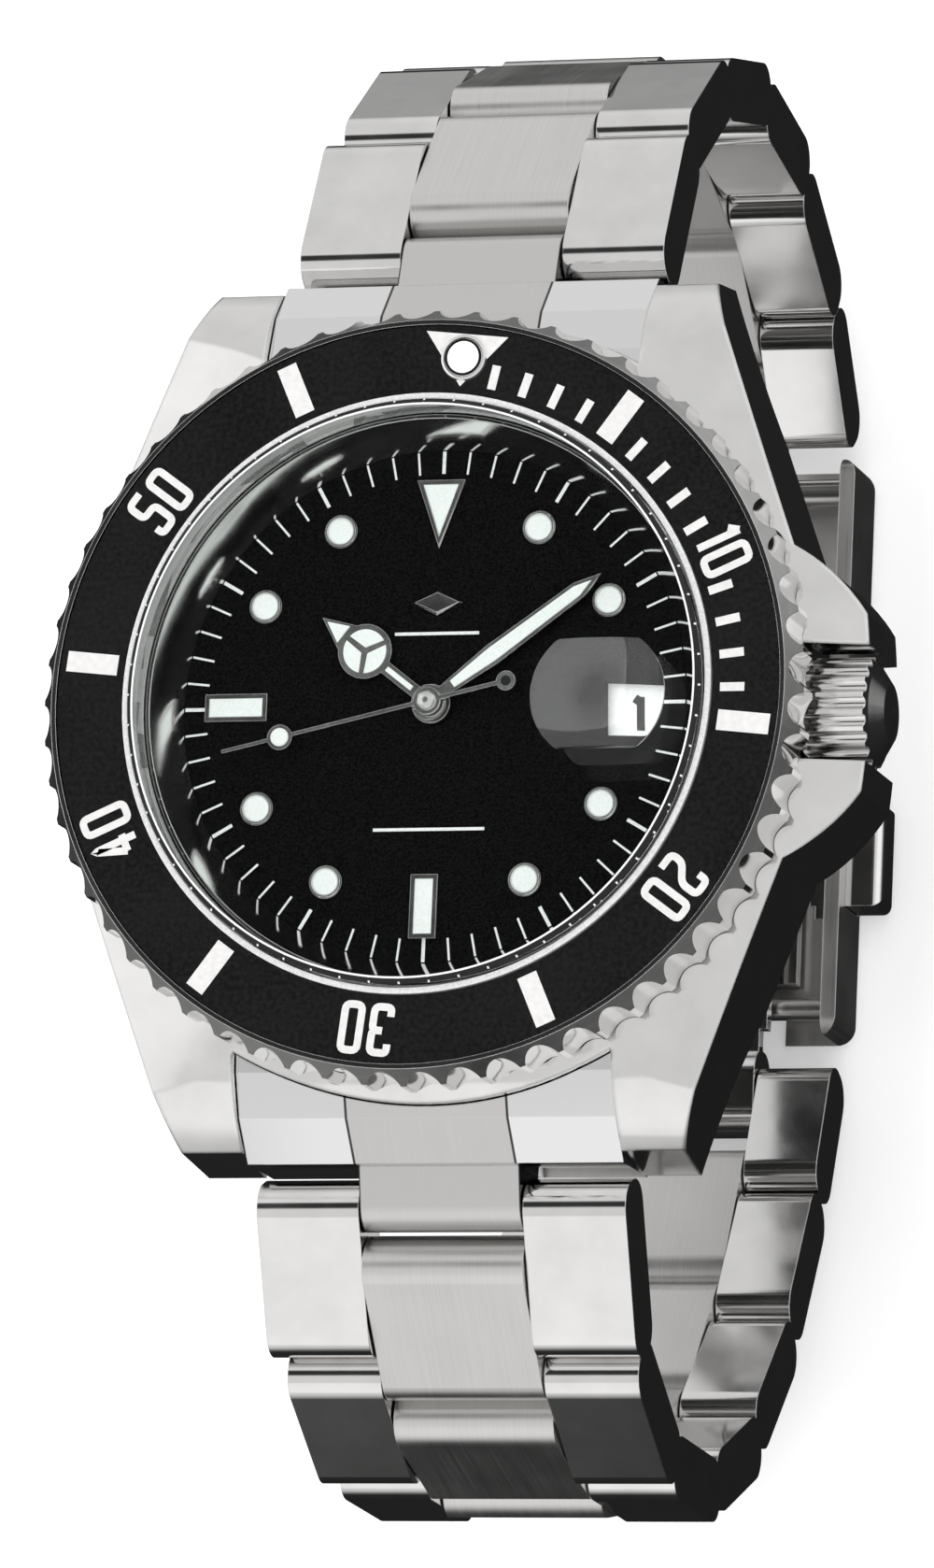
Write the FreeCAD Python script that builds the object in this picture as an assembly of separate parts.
import FreeCAD, Part
import math
import os

# Wristwatch standing on its closed bracelet, in millimetres.
# +Z is out of the dial, +Y is towards 12 o'clock and +X is towards 3 o'clock.
# The origin lies under the hands' axis, on the surface that the clasp cover rests on.

Vector = FreeCAD.Vector
os.makedirs("parts", exist_ok=True)

# ---- driving dimensions ----
INSERT_TOP = 56.0  # the top of the bezel insert, over the table; up() counts from it
FIT = 0.05  # clearance round a turning part

CASE_R = 19.9  # round part of the case
CASE_TOP = -3.4
CASE_BOTTOM = -10.4
CASE_WIDEST = 30.0  # beyond the crown guards, for cutting
CASE_SLOPE = 8.0  # degrees that the top falls outside the bezel
SLOPE_START_R = 19.0
SHOULDER = 16.5  # how far the level top of the case reaches towards 12 and 6
LUG_END = (-6.3, -10.3)  # heights of a lug's end face
LUG_SLANT = 0.6
DIAL_BORE_R = 14.6
MOVEMENT_BORE_R = 13.7
BACK_BORE_R = 15.6
BACK_SEAT_R = 17.3
BORE_STEPS = (-5.2, -9.4)  # below the dial, and above the caseback
NECK_R = 15.8  # the wall round the crystal that the bezel turns on
NECK_TOP = -0.6
LUG_GAP_HALF = 9.85
LUG_TIP = (12.9, 22.7)  # outer corner of a lug
GUARD_TIP = (22.0, 4.5)  # outer corner of a crown guard
GUARD_DIP = (20.1, 6.7)  # where the flank turns out into a guard
SPRING_BAR = (21.5, -8.7)  # distance from the axis, and height
SPRING_BAR_R = 0.75

CRYSTAL_R = 14.95
CRYSTAL_TOP = 0.8
CRYSTAL_BOTTOM = -1.2
CRYSTAL_SEAT_R = 15.3
MAGNIFIER_PLACE = (9.7, -0.4)
MAGNIFIER_R = 3.45
MAGNIFIER_HALF_HEIGHT = 2.75
MAGNIFIER_THICKNESS = 1.0
MAGNIFIER_EDGE = 0.2
DIAL_TOP = -3.3
DIAL_BOTTOM = -3.7
DIAL_R = 14.3
DATE_WINDOW = (9.9, 2.4, 1.8)  # place, width, height
DATE_RING = (8.5, 12.9)
MARKER_TOP = -3.0
DOT_CIRCLE_R = 10.36
DOT_R = 0.85

BEZEL_R = 19.75
BEZEL_BOTTOM = -3.3
BEZEL_TEETH = 60
BEZEL_TURN = -6.0  # degrees that the bezel has been turned from 12
INSERT_INNER_R = 15.35
INSERT_OUTER_R = 18.75
INSERT_THICKNESS = 0.5

BALANCE = (5.8, -5.6)
BARREL = (-6.0, 4.2)

CROWN_R = 2.8
CROWN_START = 18.6
CROWN_LENGTH = 3.5
CROWN_AXIS = -7.0
STEM_R = 0.45

ARM_LENGTHS = {"hour": 7.4, "minute": 10.8, "seconds": 10.9}
CLOCKWISE = {"hour": 307.5, "minute": 53.6, "seconds": 257.0}

LINK_STEP = 4.6  # between neighbouring pins, half the length of a piece
LINK_THICKNESS = 3.3
LINK_ROUND = 1.4
LINK_GAP = 0.2  # between the ends of two pieces in line
SHORT_END = 0.3 * LINK_STEP - LINK_GAP / 2  # from a pin to the nearer end of a piece
LONG_END = 0.7 * LINK_STEP - LINK_GAP / 2
LAST_END = 1.9  # of the side pieces next to the clasp
CENTRE_HALF = 4.2
SIDE_INNER = 4.28
PIN_R = 0.5
FIRST_PIN = (24.3, -9.7)  # distance from the axis, and height
WIDTH_AT_CLASP = 16.6
WIDTH_GAINED_AT_LUG = 2.9

# Each side of the bracelet starts at an angle below level, and each pin turns it further.
SIDES = {
    "12": {"heading": 27.0, "turn": 13.276, "growth": -0.408, "pieces": 12, "sign": 1},
    "6": {"heading": 24.0, "turn": 17.918, "growth": -1.237, "pieces": 13, "sign": -1},
}

COVER_HALF = 8.6
COVER_ENDS = (-8.0, 23.6)
COVER_WALL = 0.85
COVER_HEIGHT = 5.0
FOLD_PIN = (-6.2, 2.1)  # the cover and the middle blade
FAR_PIN = (16.6, 2.5)  # the middle blade and the inner blade
FOLD_PIN_R = 0.6
KNUCKLE_R = 1.05
BUTTON_PLACE = (2.0, 2.4)
BUTTON_SIZE = (5.8, 2.8)
BUTTON_OUT = 2.0
BUTTON_FIT = 0.06


# ---- helpers ----
def up(height):
    """The height over the table of a level measured from the top of the bezel insert."""
    return INSERT_TOP + height


def save(name, *solids):
    shape = solids[0] if len(solids) == 1 else Part.makeCompound(list(solids))
    shape.exportStep("parts/" + name + ".step")


def disc(radius, low, high, x=0.0, y=0.0):
    return Part.makeCylinder(radius, high - low, Vector(x, y, up(low)))


def tube(inner, outer, low, high, x=0.0, y=0.0):
    return disc(outer, low, high, x, y).cut(disc(inner, low, high, x, y))


def block(x_range, y_range, z_range):
    size = [high - low for low, high in (x_range, y_range, z_range)]
    return Part.makeBox(*size, Vector(x_range[0], y_range[0], z_range[0]))


def rod(radius, x_range, y, z):
    """A round bar along X."""
    length = x_range[1] - x_range[0]
    return Part.makeCylinder(radius, length, Vector(x_range[0], y, z), Vector(1, 0, 0))


def turned(profile):
    """Spins a closed outline of (radius, height) pairs about the dial's axis."""
    points = [Vector(radius, 0, up(height)) for radius, height in profile]
    face = Part.Face(Part.makePolygon(points + points[:1]))
    return face.revolve(Vector(0, 0, 0), Vector(0, 0, 1), 360)


def plate(points, low, high):
    """A flat piece from its outline in X and Y."""
    corners = [Vector(x, y, up(low)) for x, y in points]
    face = Part.Face(Part.makePolygon(corners + corners[:1]))
    return face.extrude(Vector(0, 0, high - low))


def joined(first, *others):
    shape = first
    for other in others:
        shape = shape.fuse(other)
    return shape.removeSplitter()


def spun(shape, clockwise):
    """Turns a shape about the dial's axis, clockwise as the dial is read."""
    copy = shape.copy()
    copy.rotate(Vector(0, 0, 0), Vector(0, 0, 1), -clockwise)
    return copy


def arc(first, middle, last):
    return Part.Arc(first, middle, last).toShape()


# ---- case ----
def case_outline():
    """The case from above: straight flanks into the lugs, and horns that guard the crown."""
    tip_x, tip_y = LUG_TIP
    reach = math.hypot(tip_x, tip_y)
    touch = math.atan2(tip_y, tip_x) - math.acos(CASE_R / reach)
    touch_x = CASE_R * math.cos(touch)
    touch_y = CASE_R * math.sin(touch)
    share = 0.07  # of the flank, between where it leaves the circle and where a guard starts
    horn_x = touch_x + share * (tip_x - touch_x)
    horn_y = touch_y + share * (tip_y - touch_y)
    guard_x, guard_y = GUARD_TIP
    dip_x, dip_y = GUARD_DIP

    def at(x, y):
        return Vector(x, y, 0)

    edges = [
        Part.makeLine(at(-tip_x, tip_y), at(tip_x, tip_y)),
        Part.makeLine(at(tip_x, tip_y), at(horn_x, horn_y)),
        arc(at(horn_x, horn_y), at(dip_x, dip_y), at(guard_x, guard_y)),
        arc(at(guard_x, guard_y), at(guard_x + 0.25, 0), at(guard_x, -guard_y)),
        arc(at(guard_x, -guard_y), at(dip_x, -dip_y), at(horn_x, -horn_y)),
        Part.makeLine(at(horn_x, -horn_y), at(tip_x, -tip_y)),
        Part.makeLine(at(tip_x, -tip_y), at(-tip_x, -tip_y)),
        Part.makeLine(at(-tip_x, -tip_y), at(-touch_x, -touch_y)),
        arc(at(-touch_x, -touch_y), at(-CASE_R, 0), at(-touch_x, touch_y)),
        Part.makeLine(at(-touch_x, touch_y), at(-tip_x, tip_y)),
    ]
    return Part.Face(Part.Wire(edges))


def case_side():
    """The case from the side: a level band whose lugs curve down at both ends."""
    reach = LUG_TIP[1]
    corner = reach - LUG_SLANT
    end_top, end_bottom = LUG_END
    foot = 14.5  # where the flat underside starts to curve

    def at(y, height):
        return Vector(-CASE_WIDEST, y, up(height))

    edges = [
        Part.makeLine(at(-SHOULDER, CASE_TOP), at(SHOULDER, CASE_TOP)),
        arc(at(SHOULDER, CASE_TOP), at(19.8, -4.3), at(corner, end_top)),
        Part.makeLine(at(corner, end_top), at(reach, end_bottom)),
        arc(at(reach, end_bottom), at(19.0, -9.8), at(foot, CASE_BOTTOM)),
        Part.makeLine(at(foot, CASE_BOTTOM), at(-foot, CASE_BOTTOM)),
        arc(at(-foot, CASE_BOTTOM), at(-19.0, -9.8), at(-reach, end_bottom)),
        Part.makeLine(at(-reach, end_bottom), at(-corner, end_top)),
        arc(at(-corner, end_top), at(-19.8, -4.3), at(-SHOULDER, CASE_TOP)),
    ]
    return Part.Face(Part.Wire(edges)).extrude(Vector(2 * CASE_WIDEST, 0, 0))


def guard_slope():
    """What is taken off the top and bottom of the crown guards, so that they narrow outwards."""
    wedges = []
    for level, tip_level, far in ((CASE_TOP, -4.6, 5.0), (CASE_BOTTOM, -9.6, -5.0)):
        points = [(18.6, level), (23.6, tip_level), (23.6, level + far), (18.6, level + far)]
        corners = [Vector(x, -8, up(height)) for x, height in points]
        face = Part.Face(Part.makePolygon(corners + corners[:1]))
        wedges.append(face.extrude(Vector(0, 16, 0)))
    return wedges


def case_middle():
    outline = case_outline()
    outline.translate(Vector(0, 0, up(-12.5)))
    body = outline.extrude(Vector(0, 0, 9.5)).common(case_side())
    far_r = CASE_WIDEST
    fall = (far_r - SLOPE_START_R) * math.tan(math.radians(CASE_SLOPE))
    profile = [(0, CASE_TOP), (SLOPE_START_R, CASE_TOP), (far_r, CASE_TOP - fall), (far_r, -13), (0, -13)]
    body = body.common(turned(profile))
    for wedge in guard_slope():
        body = body.cut(wedge)
    for side in (1, -1):
        reach = sorted((side * 15, side * 25))
        gap = block((-LUG_GAP_HALF, LUG_GAP_HALF), reach, (up(-13), up(-3)))
        gap = gap.cut(disc(CASE_R + 0.1, -13, -3))
        body = body.cut(gap)
        body = body.cut(rod(SPRING_BAR_R, (-11.8, 11.8), side * SPRING_BAR[0], up(SPRING_BAR[1])))
    body = body.fuse(disc(NECK_R, CASE_TOP - 1, NECK_TOP))
    recess = block((CROWN_START - 0.1, 24), (-CROWN_R - 0.15, CROWN_R + 0.15), (up(-13), up(-3)))
    bores = [
        disc(CRYSTAL_SEAT_R, CRYSTAL_BOTTOM, 0),
        disc(DIAL_BORE_R, BORE_STEPS[0], CRYSTAL_BOTTOM),
        disc(MOVEMENT_BORE_R, CASE_BOTTOM, BORE_STEPS[0]),
        disc(BACK_BORE_R, CASE_BOTTOM - 2, BORE_STEPS[1]),
        disc(BACK_SEAT_R, CASE_BOTTOM - 2, CASE_BOTTOM),
        rod(STEM_R + FIT, (12, 22), 0, up(CROWN_AXIS)),
        recess,
    ]
    for bore in bores:
        body = body.cut(bore)
    save("case_middle", body.removeSplitter())


def end_link(name, side, heading):
    """The block between two lugs, with the tongue that the first side pieces turn on."""
    profile = [(16.0, -4.0), (18.4, -4.25), (20.6, -5.1), (22.6, -6.9), (22.6, -11.3), (16.0, -10.6)]
    half = LUG_GAP_HALF - 0.05
    corners = [Vector(-half, side * y, up(height)) for y, height in profile]
    face = Part.Face(Part.makePolygon(corners + corners[:1]))
    body = face.extrude(Vector(2 * half, 0, 0))
    body = body.cut(disc(CASE_R + 0.15, -13, -3))
    tongue = bar(-CENTRE_HALF, CENTRE_HALF, -3.6, SHORT_END)
    tongue = put(tongue, side * FIRST_PIN[0], up(FIRST_PIN[1]), heading)
    body = joined(body, tongue)
    body = body.cut(rod(PIN_R + FIT, (-6, 6), side * FIRST_PIN[0], up(FIRST_PIN[1])))
    body = body.cut(rod(SPRING_BAR_R, (-11, 11), side * SPRING_BAR[0], up(SPRING_BAR[1])))
    save(name, body)


def spring_bars():
    reach = LUG_GAP_HALF + 1.8
    bars = []
    for side in (1, -1):
        bars.append(rod(SPRING_BAR_R, (-reach, reach), side * SPRING_BAR[0], up(SPRING_BAR[1])))
    save("spring_bars", *bars)


# ---- crystal, dial and hands ----
def crystal():
    edge = 0.3
    low, top = CRYSTAL_BOTTOM, CRYSTAL_TOP
    profile = [(0, low), (CRYSTAL_R, low), (CRYSTAL_R, top - edge), (CRYSTAL_R - edge, top), (0, top)]
    save("crystal", turned(profile))
    save("crystal_gasket", tube(CRYSTAL_R + 0.03, CRYSTAL_SEAT_R - 0.02, low, 0.15))


def date_magnifier():
    """A domed lens over the date, round at its ends and cut flat along its sides."""
    x, y = MAGNIFIER_PLACE
    top = CRYSTAL_TOP + MAGNIFIER_THICKNESS
    dome = MAGNIFIER_THICKNESS - MAGNIFIER_EDGE
    ball_r = (MAGNIFIER_R**2 + dome**2) / (2 * dome)
    lens = disc(MAGNIFIER_R, CRYSTAL_TOP, top, x, y)
    lens = lens.common(Part.makeSphere(ball_r, Vector(x, y, up(top) - ball_r)))
    sides = (y - MAGNIFIER_HALF_HEIGHT, y + MAGNIFIER_HALF_HEIGHT)
    save("date_magnifier", lens.common(block((0, 20), sides, (up(CRYSTAL_TOP), up(top)))))


def rehaut_ring():
    save("rehaut_ring", turned([(13.1, DIAL_TOP), (14.5, DIAL_TOP), (14.5, -1.25), (14.3, -1.25)]))


def dial():
    place, width, height = DATE_WINDOW
    level = (up(DIAL_BOTTOM - 1), up(DIAL_TOP + 1))
    window = block((place - width / 2, place + width / 2), (-height / 2, height / 2), level)
    save("dial", tube(0.75, DIAL_R, DIAL_BOTTOM, DIAL_TOP).cut(window))


def hour_markers():
    """A triangle at 12, batons at 6 and 9, and dots at the other hours but 3."""
    markers = []
    for hour in (1, 2, 4, 5, 7, 8, 10, 11):
        markers.append(spun(disc(DOT_R, DIAL_TOP, MARKER_TOP, y=DOT_CIRCLE_R), 30 * hour))
    markers.append(plate([(-1.25, 11.5), (1.25, 11.5), (0, 8.0)], DIAL_TOP, MARKER_TOP))
    baton = plate([(-0.7, 8.65), (0.7, 8.65), (0.7, 11.9), (-0.7, 11.9)], DIAL_TOP, MARKER_TOP)
    markers.append(spun(baton, 180))
    markers.append(spun(baton, 270))
    save("hour_markers", *markers)


def hands():
    """Each hand is one piece with the tube or arbor that carries it."""
    low, high = -2.95, -2.75
    circle = 4.5
    hour = joined(
        tube(0.47, 0.68, -4.6, high),
        tube(0.47, 1.0, low, high),
        plate([(-0.33, 0.8), (0.33, 0.8), (0.33, 3.3), (-0.33, 3.3)], low, high),
        disc(1.4, low, high, y=circle),
        plate([(-0.85, 5.5), (0, ARM_LENGTHS["hour"]), (0.85, 5.5)], low, high),
    )
    save("hour_hand", spun(hour, CLOCKWISE["hour"]))

    low, high = -2.5, -2.32
    blade = [(-0.3, 0.7), (-0.55, 4.0), (-0.45, 9.4), (0, ARM_LENGTHS["minute"])]
    blade += [(0.45, 9.4), (0.55, 4.0), (0.3, 0.7)]
    minute = joined(tube(0.25, 0.42, -5.3, high), tube(0.25, 0.9, low, high), plate(blade, low, high))
    save("minute_hand", spun(minute, CLOCKWISE["minute"]))

    low, high = -2.1, -1.95
    needle = [(-0.11, -3.8), (-0.09, ARM_LENGTHS["seconds"]), (0.09, ARM_LENGTHS["seconds"]), (0.11, -3.8)]
    seconds = joined(
        disc(0.2, -5.5, high),
        disc(0.7, low, high),
        plate(needle, low, high),
        disc(0.65, low, high, y=7.8),
        disc(0.5, low, high, y=-4.2),
    )
    save("seconds_hand", spun(seconds, CLOCKWISE["seconds"]))


# ---- bezel ----
def bezel():
    rim, step = 0.1, INSERT_OUTER_R + 0.05
    ring = turned([
        (NECK_R + FIT, BEZEL_BOTTOM),
        (BEZEL_R - 0.45, BEZEL_BOTTOM),
        (BEZEL_R, BEZEL_BOTTOM + 0.6),
        (BEZEL_R, -1.0),
        (step + 0.25, rim),
        (step, rim),
        (step, -INSERT_THICKNESS),
        (NECK_R + FIT, -INSERT_THICKNESS),
    ])
    pitch = 2 * math.pi / BEZEL_TEETH
    tip = 0.06 * pitch
    depth = 0.55
    edges = []
    for tooth in range(BEZEL_TEETH):
        angles = [tooth * pitch + turn for turn in (-tip, tip, pitch / 2, pitch - tip)]
        radii = [BEZEL_R + FIT, BEZEL_R + FIT, BEZEL_R - depth, BEZEL_R + FIT]
        start, end, valley, rise = [
            Vector(r * math.cos(a), r * math.sin(a), up(-4)) for r, a in zip(radii, angles)
        ]
        edges.append(Part.makeLine(start, end))
        edges.append(arc(end, valley, rise))
    knurl = Part.Face(Part.Wire(edges)).extrude(Vector(0, 0, 5))
    save("bezel_ring", spun(ring.common(knurl), -BEZEL_TURN))

    insert = tube(INSERT_INNER_R, INSERT_OUTER_R, -INSERT_THICKNESS, 0)
    pip_at = (INSERT_INNER_R + INSERT_OUTER_R) / 2 + 0.1
    insert = insert.cut(disc(0.95, -0.35, 1, y=pip_at))
    pip = disc(0.95, -0.35, 0.2, y=pip_at)
    save("bezel_insert", spun(insert, -BEZEL_TURN), spun(pip, -BEZEL_TURN))


# ---- movement and back ----
def movement():
    flange = disc(14.3, -5.15, DIAL_BOTTOM).cut(disc(13.1, -4.2, DIAL_BOTTOM))
    plate_body = joined(flange, disc(13.6, -6.3, -5.0), disc(DATE_RING[0] - 0.2, -4.3, DIAL_BOTTOM))
    plate_body = plate_body.cut(disc(0.75, -7, -3))
    pillars = [disc(0.8, -8.5, -6.3, *place) for place in ((-5.5, 10.2), (10.4, 5.2), (1.5, 10.8))]
    save("main_plate", joined(plate_body, *pillars))

    half = disc(12.8, -9.2, -8.5).cut(block((-13, 13), (-14, -0.8), (up(-10), up(-8))))
    arm = plate([(2.6, 0), (8.2, 0), (7.2, -8.0), (4.4, -8.0)], -9.2, -8.5)
    post = disc(0.85, -10.5, -8.5, y=0.4)
    seat = disc(1.6, -9.2, -8.5, y=0.4)
    holes = [disc(0.3, -10, -8, *BARREL), disc(0.3, -10, -8, *BALANCE)]
    bridge = joined(half, arm, seat, post)
    for hole in holes:
        bridge = bridge.cut(hole)
    save("train_bridge", bridge)

    barrel = joined(disc(5.0, -8.2, -6.8, *BARREL), disc(0.27, -9.1, -6.35, *BARREL))
    save("mainspring_barrel", barrel)

    wheel = tube(3.5, 4.1, -7.8, -7.3, *BALANCE)
    for spoke in range(3):
        bar_piece = block((-0.25, 0.25), (0, 3.6), (up(-7.65), up(-7.45)))
        bar_piece.rotate(Vector(0, 0, 0), Vector(0, 0, 1), 120 * spoke)
        bar_piece.translate(Vector(BALANCE[0], BALANCE[1], 0))
        wheel = wheel.fuse(bar_piece)
    save("balance_wheel", joined(wheel, disc(0.27, -9.1, -6.35, *BALANCE)))


def rotor():
    """A half disc with a heavy rim, on a post of the train bridge."""
    weight = tube(10.4, 12.6, -10.6, -9.5)
    web = disc(10.6, -10.1, -9.8)
    half = joined(weight, web).common(block((-14, 14), (-14, 0.4), (up(-11), up(-9))))
    body = joined(half, disc(1.9, -10.3, -9.5, y=0.4))
    body.translate(Vector(0, -0.4, 0))
    body = body.cut(disc(0.85 + FIT, -11, -9))
    body.translate(Vector(0, 0.4, 0))
    save("rotor", body)


def caseback():
    foot = -12.4
    ring = turned([
        (10.8, foot), (16.2, foot), (17.2, foot + 0.8), (17.2, CASE_BOTTOM - 0.02),
        (15.55, CASE_BOTTOM - 0.02), (15.55, -9.45), (14.6, -9.45), (14.6, -10.95),
        (11.5, -10.95), (11.5, -11.9), (10.8, -11.9),
    ])
    for notch in range(6):
        cutter = block((15.0, 18.0), (-1.1, 1.1), (up(foot - 1), up(foot + 0.6)))
        ring = ring.cut(spun(cutter, 30 + 60 * notch))
    save("caseback", ring)
    save("caseback_glass", disc(11.45, -11.88, -10.98))


def date_disc():
    save("date_disc", tube(*DATE_RING, -4.05, -3.8))


def crown():
    end = CROWN_START + CROWN_LENGTH
    z = up(CROWN_AXIS)
    points = [(CROWN_START, 0), (CROWN_START, CROWN_R - 0.2), (CROWN_START + 0.3, CROWN_R)]
    points += [(end - 0.2, CROWN_R), (end, CROWN_R - 0.4), (end + 0.6, CROWN_R - 1.3), (end + 0.75, 0)]
    corners = [Vector(x, 0, z + radius) for x, radius in points]
    body = Part.Face(Part.makePolygon(corners + corners[:1])).revolve(
        Vector(0, 0, z), Vector(1, 0, 0), 360
    )
    flutes = 20
    for flute in range(flutes):
        angle = 2 * math.pi * flute / flutes
        y = (CROWN_R + 0.12) * math.cos(angle)
        height = (CROWN_R + 0.12) * math.sin(angle)
        body = body.cut(rod(0.34, (CROWN_START - 1, end - 0.1), y, z + height))
    body = body.cut(rod(STEM_R + FIT, (CROWN_START - 1, end - 0.8), 0, z))
    save("crown", body)
    save("winding_stem", rod(STEM_R, (8.0, end - 1.6), 0, z))


# ---- bracelet ----
def bar(x_low, x_high, start, end):
    """A bar with rounded edges, lying along Y and centred on its first pin."""
    half = LINK_THICKNESS / 2
    body = block((x_low, x_high), (start, end), (-half, half))
    across = [e for e in body.Edges if abs(e.tangentAt(e.FirstParameter).x) > 0.9]
    return body.makeFillet(LINK_ROUND, across)


def put(shape, y, z, heading):
    """Turns a piece about X and moves its first pin to (y, z)."""
    copy = shape.copy()
    copy.rotate(Vector(0, 0, 0), Vector(1, 0, 0), heading)
    copy.translate(Vector(0, y, z))
    return copy


def route(side):
    """The pins of one side of the bracelet, and the heading of each piece in degrees."""
    y, z = side["sign"] * FIRST_PIN[0], up(FIRST_PIN[1])
    slope = side["heading"]
    pins = [(y, z)]
    headings = []
    for piece in range(side["pieces"]):
        heading = -slope if side["sign"] > 0 else 180 + slope
        headings.append(heading)
        y += LINK_STEP * math.cos(math.radians(heading))
        z += LINK_STEP * math.sin(math.radians(heading))
        pins.append((y, z))
        slope += side["turn"] + side["growth"] * piece
    return pins, headings


def half_width(pin_number):
    """The bracelet narrows from the lugs to the clasp."""
    left = max(0.0, 1 - pin_number / 12)
    return (WIDTH_AT_CLASP + WIDTH_GAINED_AT_LUG * left**2) / 2


def bracelet(name, side):
    pins, headings = route(side)
    count = side["pieces"]
    for piece in range(count):
        number = piece // 2 + 1
        y, z = pins[piece]
        if piece % 2:
            centre = bar(-CENTRE_HALF, CENTRE_HALF, -LONG_END, LINK_STEP + SHORT_END)
            far_hole = SPRING_BAR_R if piece == count - 1 else PIN_R
            centre = centre.cut(rod(PIN_R + FIT, (-6, 6), 0, 0))
            centre = centre.cut(rod(far_hole + FIT, (-6, 6), LINK_STEP, 0))
            save("link_%s_%d_centre" % (name, number), put(centre, y, z, headings[piece]))
            continue
        wide = half_width(piece + 0.5)
        pin_places = (0,) if piece == count - 1 else (0, LINK_STEP)
        far_end = LAST_END if piece >= count - 2 else LONG_END
        solids = [
            bar(*x_range, -SHORT_END, LINK_STEP + far_end)
            for x_range in ((-wide, -SIDE_INNER), (SIDE_INNER, wide))
        ]
        solids += [rod(PIN_R, (-SIDE_INNER, SIDE_INNER), place, 0) for place in pin_places]
        save("link_%s_%d_sides" % (name, number), *[put(s, y, z, headings[piece]) for s in solids])


# ---- clasp ----
def side_plate(points, x_range):
    """A piece from its outline in Y and Z, with Z over the table."""
    corners = [Vector(x_range[0], y, z) for y, z in points]
    face = Part.Face(Part.makePolygon(corners + corners[:1]))
    return face.extrude(Vector(x_range[1] - x_range[0], 0, 0))


def clasp_cover(link_pin):
    low, high = COVER_ENDS
    outer = block((-COVER_HALF, COVER_HALF), (low, high), (0, COVER_HEIGHT))
    long_edges = [e for e in outer.Edges if e.BoundBox.YLength > 5 and e.BoundBox.ZMax < 1]
    outer = outer.makeFillet(0.7, long_edges)
    ends = [e for e in outer.Edges if e.BoundBox.XLength > 10 and e.BoundBox.YLength < 0.1]
    outer = outer.makeFillet(1.0, [e for e in ends if e.BoundBox.ZMin > 1 or e.BoundBox.ZMax < 0.1])
    inner = COVER_HALF - COVER_WALL
    body = outer.cut(block((-inner, inner), (low - 1, high + 1), (0.9, COVER_HEIGHT + 1)))
    notch = CENTRE_HALF + 0.6
    body = body.cut(block((-notch, notch), (low - 1, low + 2.6), (-1, COVER_HEIGHT)))
    y, z = BUTTON_PLACE
    wide, tall = BUTTON_SIZE
    wide, tall = wide / 2 + BUTTON_FIT, tall / 2 + BUTTON_FIT
    body = body.cut(block((-10, 10), (y - wide, y + wide), (z - tall, z + tall)))
    reach = COVER_HALF - 0.25
    fold_pin = rod(FOLD_PIN_R, (-reach, reach), *FOLD_PIN)
    spring_bar = rod(SPRING_BAR_R, (-reach, reach), *link_pin)
    save("clasp_cover", body.cut(fold_pin).cut(spring_bar))
    save("clasp_pins", fold_pin, spring_bar)


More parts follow.
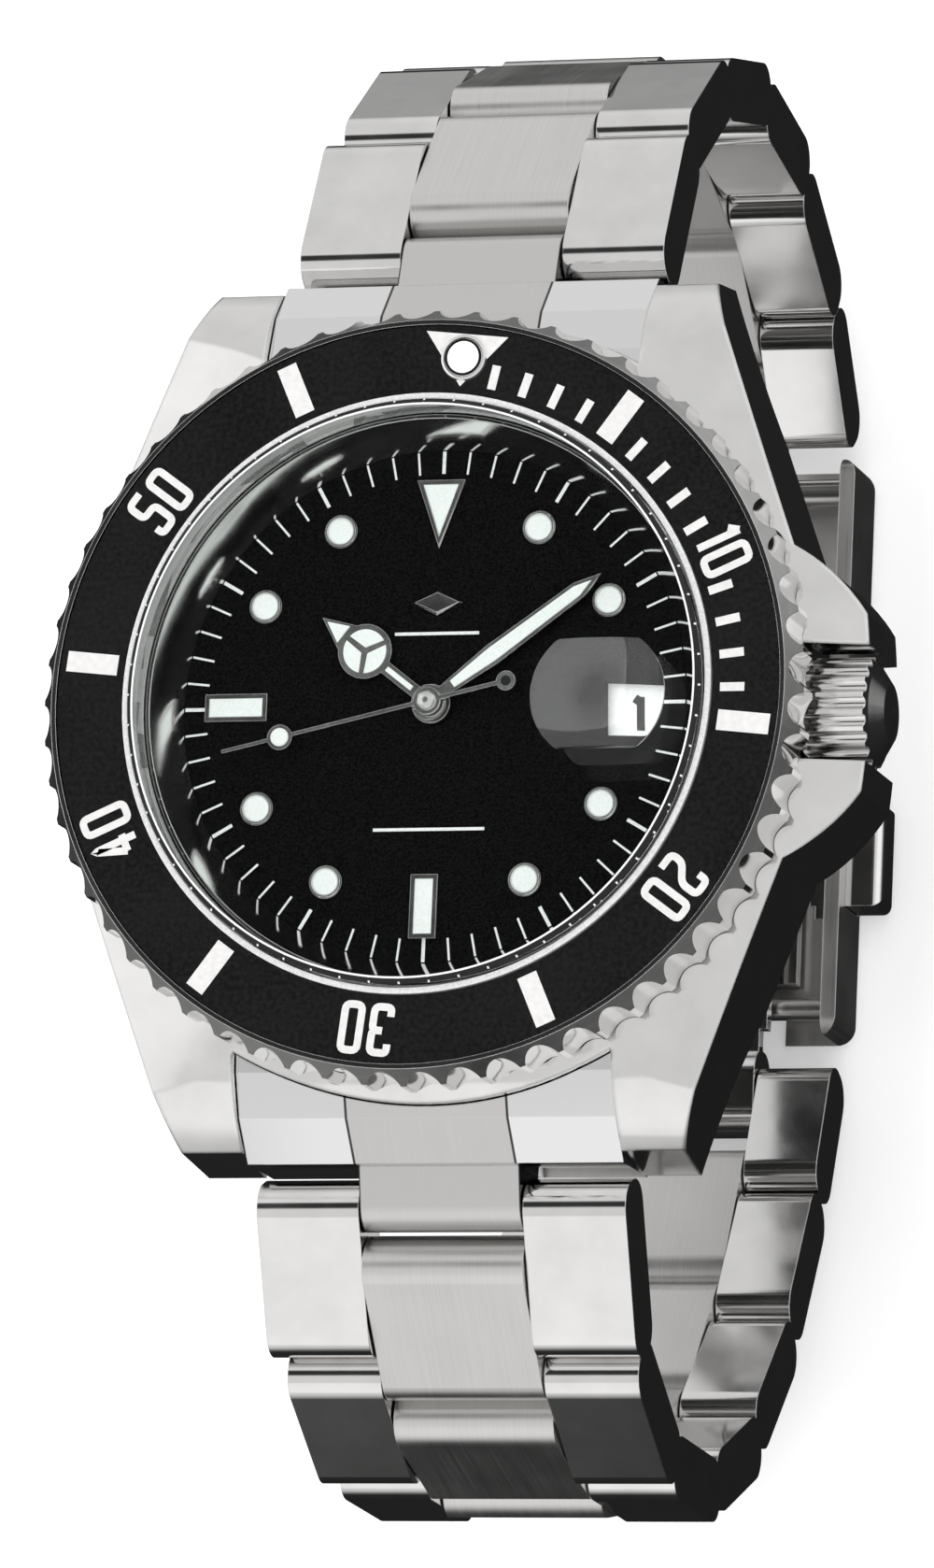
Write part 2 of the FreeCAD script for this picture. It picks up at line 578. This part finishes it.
def clasp_blades(open_pin):
    half = 5.6
    knuckle = 2.4
    floor, top = 1.25, 2.05
    leaf = block((-half, half), (FOLD_PIN[0] + 1.4, FAR_PIN[0] - 1.4), (floor, top))
    leaf = leaf.cut(block((-3.2, 3.2), (-3.0, 11.0), (0, 5)))
    eyes = []
    for pin, toward in ((FOLD_PIN, 1), (FAR_PIN, -1)):
        arm_range = sorted((pin[0], pin[0] + toward * 1.6))
        eyes.append(rod(KNUCKLE_R, (-knuckle, knuckle), *pin))
        eyes.append(block((-knuckle, knuckle), arm_range, (floor + 0.05, top + 0.1)))
    middle = joined(leaf, *eyes)
    middle = middle.cut(rod(FOLD_PIN_R + FIT, (-9, 9), *FOLD_PIN))
    far_rod = rod(FOLD_PIN_R, (-4.4, 4.4), *FAR_PIN)
    save("clasp_middle_blade", middle.cut(far_rod), far_rod)

    floor, top = 3.25, 4.05
    narrow = CENTRE_HALF
    leaf = block((-4.6, 4.6), (COVER_ENDS[0] + 0.4, FAR_PIN[0]), (floor, top))
    leaf = leaf.cut(block((-2.6, 2.6), (-3.5, 12.5), (0, 6)))
    eyes = [rod(KNUCKLE_R, sorted((s * 2.5, s * 4.6)), *FAR_PIN) for s in (1, -1)]
    clear = rod(KNUCKLE_R + 0.15, (-2.5, 2.5), *FAR_PIN)
    clear = clear.fuse(block((-2.5, 2.5), (FAR_PIN[0] - 3, FAR_PIN[0] + 3), (0, 6)))
    neck = block((-narrow, narrow), (open_pin[0] + 0.5, COVER_ENDS[0] + 1), (floor, top))
    tongue = put(bar(-narrow, narrow, -2.9, 1.75), *open_pin, 180)
    inner = joined(leaf.cut(clear), neck, tongue, *eyes)
    inner = inner.cut(rod(FOLD_PIN_R + FIT, (-9, 9), *FAR_PIN))
    open_rod = rod(SPRING_BAR_R, (-narrow, narrow), *open_pin)
    save("clasp_inner_blade", inner.cut(open_rod), open_rod)


def clasp_buttons():
    y, z = BUTTON_PLACE
    wide, tall = BUTTON_SIZE
    inside = COVER_HALF - COVER_WALL - 0.1
    for name, side in (("right", 1), ("left", -1)):
        x_range = sorted((side * (inside - 1), side * (COVER_HALF + BUTTON_OUT)))
        head = block(x_range, (y - wide / 2, y + wide / 2), (z - tall / 2, z + tall / 2))
        outer_x = side * (COVER_HALF + BUTTON_OUT)
        face = [f for f in head.Faces if abs(f.CenterOfMass.x - outer_x) < 0.01][0]
        head = head.makeFillet(0.6, face.Edges)
        x_range = sorted((side * (inside - 0.7), side * inside))
        flange = block(x_range, (y - wide / 2 - 0.7, y + wide / 2 + 0.7), (z - tall / 2, z + tall / 2))
        save("clasp_button_" + name, joined(head, flange))


# ---- the whole watch ----
case_middle()
end_link("end_link_12", 1, -SIDES["12"]["heading"] + 10)
end_link("end_link_6", -1, 180 + SIDES["6"]["heading"] - 10)
spring_bars()
crystal()
date_magnifier()
rehaut_ring()
dial()
hour_markers()
hands()
bezel()
movement()
rotor()
caseback()
date_disc()
crown()
for side_name, side_shape in SIDES.items():
    bracelet(side_name, side_shape)
clasp_cover(route(SIDES["12"])[0][-1])
clasp_blades(route(SIDES["6"])[0][-1])
clasp_buttons()
